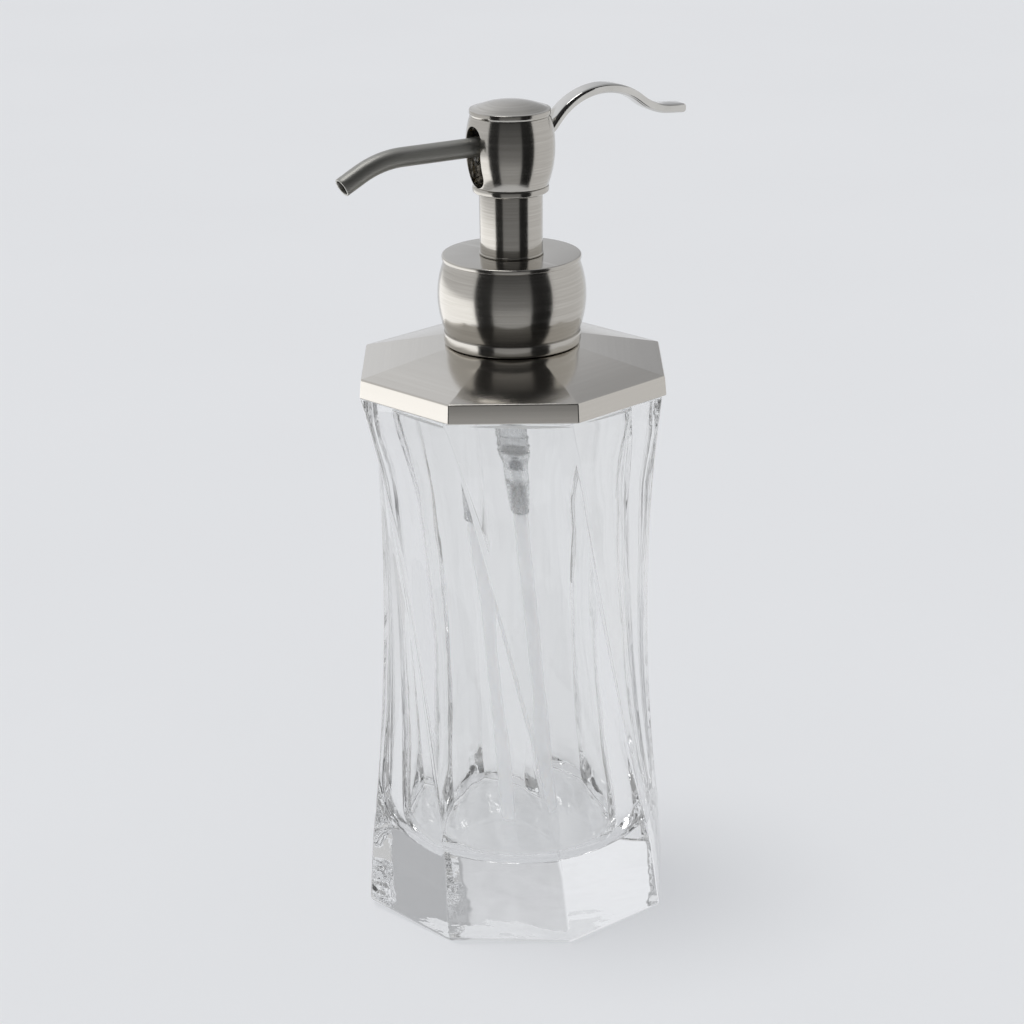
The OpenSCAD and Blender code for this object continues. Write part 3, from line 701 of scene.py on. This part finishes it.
def spout():
    """Bent tube, rounded at its lip, bored through its whole length."""
    radius, bore, lip = 2.4, 1.9, 0.12
    reach, bend_r, bend, end = 46.5, 25, 28, 5.5
    root_x = 2.2
    axis_z = box_mm("spout_tube")[1].z - radius
    straight = reach - bend_r * math.sin(math.radians(bend)) - end * math.cos(math.radians(bend)) - root_x
    path = [(root_x, axis_z, 0.0)]
    for i in range(1, 13):
        path.append(ahead(path[0], straight * i / 12))
    turn_to(path, -bend, bend_r, 24)
    last = path[-1]
    for distance in [end * i / 6 for i in range(1, 6)] + [end - lip, end - lip * 0.3, end]:
        path.append(ahead(last, distance))
    outer = [radius] * (len(path) - 2) + [radius - lip * 0.3, radius - lip]
    inner = [bore + lip, bore + lip * 0.3] + [bore] * (len(path) - 2)
    rings = [across_path(point, circle(r)) for point, r in zip(path + path[::-1], outer + inner)]
    bm = bmesh.new()
    add_skin(bm, rings, closed_loop=True)
    finish_mesh("spout_pipe", bm, "plunger", ["spout_tube"], spout_nickel_painted_darker, sharp=50)


LEVER_REST = math.radians(19)    # slope of the inner arms at rest
PIVOT_X = 6.3
EXIT_X = 10.8                    # where the lever's centre line leaves the barrel, behind the axis
WEB_END = 13.2                   # distance from the pivot to the end of the arms
ARM_LOW, ARM_HIGH = 1.2, 2.3     # arm below and above its centre line
ARM_Y, ARM_T = 2.75, 1.1         # inner face and thickness of an arm


def pivot_height():
    """Height of the lever's pins."""
    return box_mm("head_barrel")[0].z + 12.5 - (PIVOT_X + EXIT_X) * math.tan(LEVER_REST)


def on_arm(d, q):
    """Point d along the lever's arm from its pivot, and q above the arm's centre line."""
    return (PIVOT_X - d * math.cos(LEVER_REST) + q * math.sin(LEVER_REST),
            pivot_height() + d * math.sin(LEVER_REST) + q * math.cos(LEVER_REST))


def lever_strip():
    """Polished strip that leaves the head, curls up and over, and ends in a short level tip."""
    width, thick, edge = 5.0, 2.3, 0.75
    x, z = on_arm(WEB_END - 1.0, 0)
    path = [(-x, z, LEVER_REST)]
    for step in (1.0, 1.5, 1.5):
        path.append(ahead(path[-1], step))
    turn_to(path, 50, 6, 12)
    path.append(ahead(path[-1], 1.6))
    turn_to(path, 0, 17.5, 24)
    turn_to(path, -37, 17, 18)
    path.append(ahead(path[-1], 1.5))
    turn_to(path, -4, 14, 14)
    for step in (2.2, 2.2):
        path.append(ahead(path[-1], step))
    insets = [0.0] * len(path)
    tail = path[-1]
    for step, inset in ((0.4, 0.1), (0.65, 0.28), (0.8, 0.55)):
        path.append(ahead(tail, step))
        insets.append(inset)
    rings = []
    for point, inset in zip(path, insets):
        w, h, r = width / 2 - inset, thick / 2 - inset, edge - inset * 0.5
        section = rounded([(-w, -h, r), (w, -h, r), (w, h, r), (-w, h, r)])
        rings.append(across_path(point, section, mirror=-1))
    bm = bmesh.new()
    add_skin(bm, rings)
    finish_mesh("lever_arm_strip", bm, "lever_arm", ["lever"], MATERIALS["polished"], sharp=50)


def add_plate(bm, outline, near_y, far_y):
    """Flat plate in the head's XZ plane, from one y to another."""
    near, far = ([bm.verts.new(head_matrix @ Vector((x, y, z)) * MM) for x, z in outline]
                 for y in (near_y, far_y))
    for i in range(len(outline)):
        j = (i + 1) % len(outline)
        bm.faces.new((near[i], near[j], far[j], far[i]))
    bm.faces.new(near)
    bm.faces.new(far[::-1])


def lever_fork():
    """Two arms from the pivot to the web that joins them, each notched for the spout block."""
    pivot_z = pivot_height()
    eye_r, pin_r, notch = 1.45, 0.86, 1.02
    nose, web_start, overlap = 2, 11.2, 0.2
    trunnion_d = (PIVOT_X + 1.5) / math.cos(LEVER_REST)
    notch_near, notch_far = trunnion_d - 1.35, trunnion_d + 1.15
    eye = []
    for i in range(13):
        a = math.radians(130 - 200 * i / 12)
        eye.append((PIVOT_X + eye_r * math.cos(a), pivot_z + eye_r * math.sin(a)))

    def under(d):
        return on_arm(d, (eye_r - ARM_LOW) * d / WEB_END - eye_r)

    arm = ([on_arm(WEB_END, -ARM_LOW), on_arm(WEB_END, ARM_HIGH), on_arm(nose, ARM_HIGH)] + eye
           + [under(notch_near), on_arm(notch_near, notch), on_arm(notch_far, notch), under(notch_far)])
    web = [on_arm(web_start, -ARM_LOW), on_arm(web_start, ARM_HIGH), on_arm(WEB_END + overlap, ARM_HIGH),
           on_arm(WEB_END + overlap, -ARM_LOW)]
    outer_y = ARM_Y + ARM_T
    bm = bmesh.new()
    for side in (-1, 1):
        add_plate(bm, arm, side * ARM_Y, side * outer_y)
    add_plate(bm, web, -outer_y, outer_y)
    fork = finish_mesh("lever_fork", bm, "lever_arm", ["lever"], MATERIALS["polished"], sharp=35)
    hole = bmesh.new()
    hole_end = 10
    rings = []
    for y in (-hole_end, hole_end):
        rings.append([head_matrix @ Vector((PIVOT_X + x, y, pivot_z + z)) for x, z in circle(pin_r, 32)])
    add_skin(hole, rings)
    carve(fork, hole)
    soften(fork, 0.1)


# ---- pump below the lid ---------------------------------------------------------------------


def pump_housing():
    """Translucent housing with moulded rings, stepped down to the socket of the dip tube."""
    radius, low, high = turned_size("pump_housing")
    bore, chamber_r, seat_r, socket_r = 4.8, 2.9, 1.6, 3.22
    tip_r, tail_r, body_r, ring_h = 4.1, 4.6, 5.8, 0.35
    seat_z, chamber_z, step_z = low + 7.4, low + 12, low + 18
    flange_z = high - 1.5
    outline = [(socket_r, low, 0), (tip_r, low, 0.3), (tail_r, low + 5, 0.5), (tail_r, chamber_z + 2, 0.5),
               (body_r, chamber_z + 5, 0.5)]
    for z in (low + 18.7, low + 21.1, low + 24.3):
        outline += [(body_r, z - ring_h, 0), (body_r + ring_h, z - ring_h * 0.6, 0.1),
                    (body_r + ring_h, z + ring_h * 0.6, 0.1), (body_r, z + ring_h, 0)]
    outline += [(body_r, flange_z, 0.3), (radius, flange_z, 0.3), (radius, high, 0.3), (bore, high, 0.3),
                (bore, step_z, 0.2), (chamber_r, step_z, 0.2), (chamber_r, chamber_z, 0.2),
                (seat_r, chamber_z, 0.2), (seat_r, seat_z, 0.1), (socket_r, seat_z, 0)]
    turned("pump_barrel", rounded(outline), "pump_body", ["pump_housing"], MATERIALS["clear_plastic"])


def dip_tube():
    """Straight tube that reaches the floor of the hollow."""
    radius, low, high = turned_size("dip_tube")
    bore = 2.4
    outline = rounded([(bore, low, 0.15), (radius, low, 0.15), (radius, high, 0.1), (bore, high, 0.1)])
    turned("suction_tube", outline, "pump_body", ["dip_tube"], tube_plastic)


glass_bottle()
lid()
collar()
column()
ring()
barrel()
cap()
spring()
spout()
lever_strip()
lever_fork()
pump_housing()
dip_tube()


# ---- floor, light and camera -------------------------------------------------------------------


def linked(name, mesh, material):
    """New object in the scene."""
    mesh.materials.append(material)
    piece = bpy.data.objects.new(name, mesh)
    bpy.context.collection.objects.link(piece)
    return piece


def plain_material(name):
    """Empty node tree with an output."""
    material = bpy.data.materials.new(name)
    material.use_nodes = True
    tree = material.node_tree
    tree.nodes.clear()
    return material, tree, add(tree, "OutputMaterial")


def floor():
    """Matte pale floor, a hair under the base so that the glass mirrors at its underside."""
    material, tree, shader = new_material("studio_floor")
    cloud = noise(tree, (6, 6, 6), detail=2.0)
    colour = tint(tree, spread(tree, cloud, 0, 1, 0.3, 0.7), (0.838, 0.842, 0.849), (0.848, 0.852, 0.859))
    tree.links.new(colour, shader.inputs["Base Color"])
    shader.inputs["Roughness"].default_value = 0.9
    shader.inputs["Specular IOR Level"].default_value = 0.1
    mesh = bpy.data.meshes.new("studio_floor")
    half, z = 6, -0.0002
    corners = [(-half, -half, z), (half, -half, z), (half, half, z), (-half, half, z)]
    mesh.from_pydata(corners, [], [(0, 1, 2, 3)])
    piece = linked("studio_floor", mesh, material)


SKY_LEVEL = 0.74    # strength of the sky where it isn't mirrored


def world():
    """Even pale light for the floor. Metal mirrors a sky that dims to the right, upwards and to the front."""
    sky = bpy.data.worlds.new("studio_sky")
    sky.use_nodes = True
    tree = sky.node_tree
    tree.nodes.clear()
    ray = add(tree, "LightPath")
    where = add(tree, "TexCoord")
    axis = add(tree, "SeparateXYZ", {"Vector": where.outputs["Generated"]})
    across, along, up = (axis.outputs[name] for name in "XYZ")
    side = spread(tree, across, 0.83, 0.42, -0.2, 0.2)
    zenith = 0.5
    behind = blend_values(tree, ease(tree, up, 0.55, 0.95), side, zenith)
    front = spread(tree, along, 0.06, 1, -0.25, 0.15)
    upper = mix_values(tree, "MULTIPLY", behind, front)
    mirrored = blend_values(tree, ease(tree, up, 0.0, 0.14), SKY_LEVEL, upper)
    level = blend_values(tree, ray.outputs["Is Glossy Ray"], SKY_LEVEL, mirrored)
    back = add(tree, "Background", {"Color": (0.985, 1.0, 1.03, 1), "Strength": level})
    output = add(tree, "OutputWorld")
    tree.links.new(back.outputs["Background"], output.inputs["Surface"])
    bpy.context.scene.world = sky


def card(name, start, end, levels, seen_in_glass=True):
    """Curved glowing strip that stands round the object, from one azimuth to another. 0 faces the camera.

    levels is a list of (height, strength), from the floor up. A reflection inside the glass shows a paler
    card, and a straight look through the glass shows only the sky's level.
    """
    material, tree, output = plain_material(name)
    where = add(tree, "TexCoord")
    height = add(tree, "SeparateXYZ", {"Vector": where.outputs["Object"]}).outputs["Z"]
    strength = levels[0][1]
    for (low, _), (high, value) in zip(levels, levels[1:]):
        strength = blend_values(tree, spread(tree, height, 0, 1, low, high), strength, value)
    ray = add(tree, "LightPath")
    mirrored = mix_values(tree, "GREATER_THAN", ray.outputs["Glossy Depth"], 0.5)
    paleness = 0.35
    paler = blend_values(tree, paleness, strength, SKY_LEVEL)
    through_glass = blend_values(tree, mirrored, SKY_LEVEL, paler)
    strength = blend_values(tree, ray.outputs["Is Transmission Ray"], strength, through_glass)
    light = add(tree, "Emission", {"Strength": strength})
    tree.links.new(light.outputs["Emission"], output.inputs["Surface"])
    bm = bmesh.new()
    radius, steps = 0.2, 16
    last = None
    for i in range(steps + 1):
        a = math.radians(start + (end - start) * i / steps)
        x, y = radius * math.sin(a), -radius * math.cos(a)
        pair = (bm.verts.new((x, y, levels[0][0])), bm.verts.new((x, y, levels[-1][0])))
        if last:
            bm.faces.new((last[0], pair[0], pair[1], last[1]))
        last = pair
    mesh = bpy.data.meshes.new(name)
    bm.to_mesh(mesh)
    bm.free()
    piece = linked(name, mesh, material)
    piece.visible_camera = False
    piece.visible_diffuse = False
    piece.visible_shadow = False
    piece.visible_transmission = seen_in_glass


def lights():
    """Soft key from above and a little left, and the cards that the metal mirrors."""
    key = bpy.data.lights.new("key", "SUN")
    key.energy = 0.5
    key.angle = math.radians(24)
    key.color = (1.0, 0.995, 0.985)
    shine = Vector((0.2, -0.04, -1.0))
    key_object = bpy.data.objects.new("key", key)
    key_object.rotation_euler = shine.to_track_quat("-Z", "Y").to_euler()
    bpy.context.collection.objects.link(key_object)
    front_left, front_right, left, right, back = -29, 29, -57, 62, 146
    card("front_panel", front_left, front_right,
         [(0.0, 0.43), (0.10, 0.42), (0.13, 0.27), (0.2, 0.16), (0.3, 0.05)])
    card("left_flag", left, front_left, [(0.0, 0.018), (0.2, 0.03), (0.3, 0.03)])
    card("right_flag", front_right, right, [(0.0, 0.012), (0.2, 0.02), (0.3, 0.02)])
    card("left_window", -back, left,
         [(0.0, 0.5), (0.046, 0.5), (0.05, 1.55), (0.135, 1.5), (0.155, 0.75), (0.32, 0.7)],
         seen_in_glass=False)
    card("right_window", right, back, [(0.0, 0.76), (0.32, 0.76)], seen_in_glass=False)


def glass_shade():
    """Unseen stand-in for the glass, which thins the key's light where the glass stands."""
    material, tree, output = plain_material("glass_shade")
    veil = add(tree, "BsdfTransparent", {"Color": (0.6, 0.6, 0.6, 1)})
    tree.links.new(veil.outputs["BSDF"], output.inputs["Surface"])
    bm = bmesh.new()
    corner = 3
    sides = [(38, 0.5), (32, 70), (36, 138)]    # distance from the axis to a side, and height
    add_skin(bm, [octagon_ring(flat, corner, z) for flat, z in sides])
    mesh = bpy.data.meshes.new("glass_shade")
    bm.to_mesh(mesh)
    bm.free()
    piece = linked("glass_shade", mesh, material)
    for kind in ("camera", "diffuse", "glossy", "transmission"):
        setattr(piece, f"visible_{kind}", False)


def camera():
    """Long lens, looking down 19.5 degrees from the front."""
    lens = bpy.data.cameras.new("camera")
    lens.sensor_width = 36
    lens.lens = 102.72
    lens.clip_end = 20
    tilt, lean, distance = 0.3401, -0.011, 0.7479
    target = Vector((-0.00057, 0, 0.1035))
    heading = Vector((0, math.cos(tilt), -math.sin(tilt)))
    facing = Matrix.Rotation(math.pi / 2 - tilt, 4, "X") @ Matrix.Rotation(lean, 4, "Z")
    holder = bpy.data.objects.new("camera", lens)
    holder.matrix_world = Matrix.Translation(target - heading * distance) @ facing
    bpy.context.collection.objects.link(holder)
    bpy.context.scene.camera = holder


floor()
world()
lights()
glass_shade()
camera()
bpy.context.scene.view_settings.view_transform = "Standard"
bpy.context.scene.cycles.max_bounces = 24    # light turns many times inside the thick glass
bpy.context.scene.cycles.glossy_bounces = 16
bpy.context.scene.cycles.transmission_bounces = 16
bpy.context.view_layer.update()
